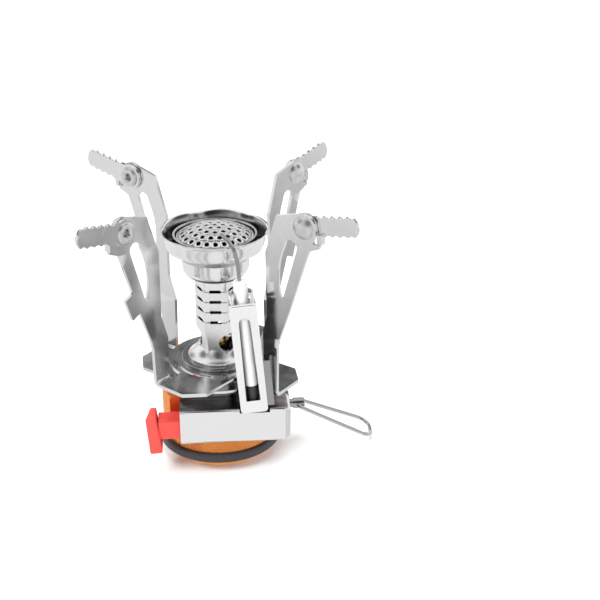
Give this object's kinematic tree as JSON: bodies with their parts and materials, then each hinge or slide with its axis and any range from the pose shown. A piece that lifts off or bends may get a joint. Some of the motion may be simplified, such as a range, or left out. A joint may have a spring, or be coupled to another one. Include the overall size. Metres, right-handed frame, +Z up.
{
  "type": "canister stove",
  "caption": "Folding gas canister stove with slotted burner tube, hinged serrated pot supports, needle valve with wire key and push-button igniter.",
  "frame": {"origin": "on the burner's axis, at the underside of the foot", "axes": "+Z up along the burner; +X from the igniter button to the valve key; -Y is the igniter's side"},
  "size_m": [0.092, 0.0764, 0.0926],
  "materials": {
    "orange_anodised": "anodised, knurled",
    "black_rubber": "moulded",
    "polished_steel": "polished stainless sheet",
    "turned_steel": "turned and polished",
    "turned_aluminium": "turned and polished",
    "brass": "turned",
    "red_plastic": "moulded",
    "white_ceramic": "glazed",
    "dark_plastic": "moulded",
    "steel_wire": "drawn and plated"
  },
  "bodies": {
    "stove_base": {"box_rivets": "turned_steel", "burner_cup": "polished_steel", "burner_tube": "polished_steel", "button_spring": "steel_wire", "canister_collar": "orange_anodised", "canister_pin": "brass", "canister_seal": "black_rubber", "ceramic_insulator": "white_ceramic", "electrode_guard": "polished_steel", "electrode_wire": "steel_wire", "gas_jet": "brass", "grip_ring": "black_rubber", "hub_washer": "turned_steel", "igniter_box": "polished_steel", "igniter_bracket": "polished_steel", "igniter_lead": "black_rubber", "limit_pin": "turned_steel", "lower_arm_plate": "polished_steel", "mesh_dome": "polished_steel", "mesh_ring": "polished_steel", "piezo_module": "dark_plastic", "plate_washer": "turned_aluminium", "spindle_gland": "turned_steel", "spindle_seal": "black_rubber", "tip_rivet_back_left": "polished_steel", "tip_rivet_front_right": "polished_steel", "valve_body": "turned_aluminium", "wind_ring": "polished_steel"},
    "upper_arms": {"upper_arm_plate": "polished_steel", "tip_rivet_front_left": "polished_steel", "tip_rivet_back_right": "polished_steel"},
    "valve_control": {"valve_spindle": "turned_steel"},
    "key": {"control_key": "steel_wire"},
    "button": {"igniter_button": "red_plastic"},
    "tip_back_left": {"support_tip_back_left": "polished_steel"},
    "tip_front_right": {"support_tip_front_right": "polished_steel"},
    "tip_front_left": {"support_tip_front_left": "polished_steel"},
    "tip_back_right": {"support_tip_back_right": "polished_steel"}
  },
  "joints": [
    {"name": "arms_fold", "type": "hinge", "parent": "stove_base", "child": "upper_arms", "pos_m": [0, 0, 0.0315], "axis": [0, 0, 1], "range_deg": [-65, 0]},
    {"name": "tip_back_left_fold", "type": "hinge", "parent": "stove_base", "child": "tip_back_left", "pos_m": [-0.02765, 0.0232, 0.0863], "axis": [0.6428, 0.766, 0], "range_deg": [0, 140]},
    {"name": "tip_front_right_fold", "type": "hinge", "parent": "stove_base", "child": "tip_front_right", "pos_m": [0.02765, -0.0232, 0.0863], "axis": [-0.6428, -0.766, 0], "range_deg": [0, 140]},
    {"name": "tip_front_left_fold", "type": "hinge", "parent": "upper_arms", "child": "tip_front_left", "pos_m": [-0.02508, -0.02597, 0.0863], "axis": [-0.7193, 0.6947, 0], "range_deg": [0, 140]},
    {"name": "tip_back_right_fold", "type": "hinge", "parent": "upper_arms", "child": "tip_back_right", "pos_m": [0.02508, 0.02597, 0.0863], "axis": [0.7193, -0.6947, 0], "range_deg": [0, 140]},
    {"name": "valve_turn", "type": "hinge", "parent": "stove_base", "child": "valve_control", "pos_m": [0.02, 0, 0.0133], "axis": [1, 0, 0], "range_deg": [0, 540]},
    {"name": "key_fold", "type": "hinge", "parent": "valve_control", "child": "key", "pos_m": [0.0262, 0, 0.0133], "axis": [0, -1, 0], "range_deg": [0, 80]},
    {"name": "button_press", "type": "slide", "parent": "stove_base", "child": "button", "axis": [1, 0, 0], "range_m": [0, 0.0045], "stiffness_N_per_m": 1200, "deforming": ["button_spring"]}
  ]
}
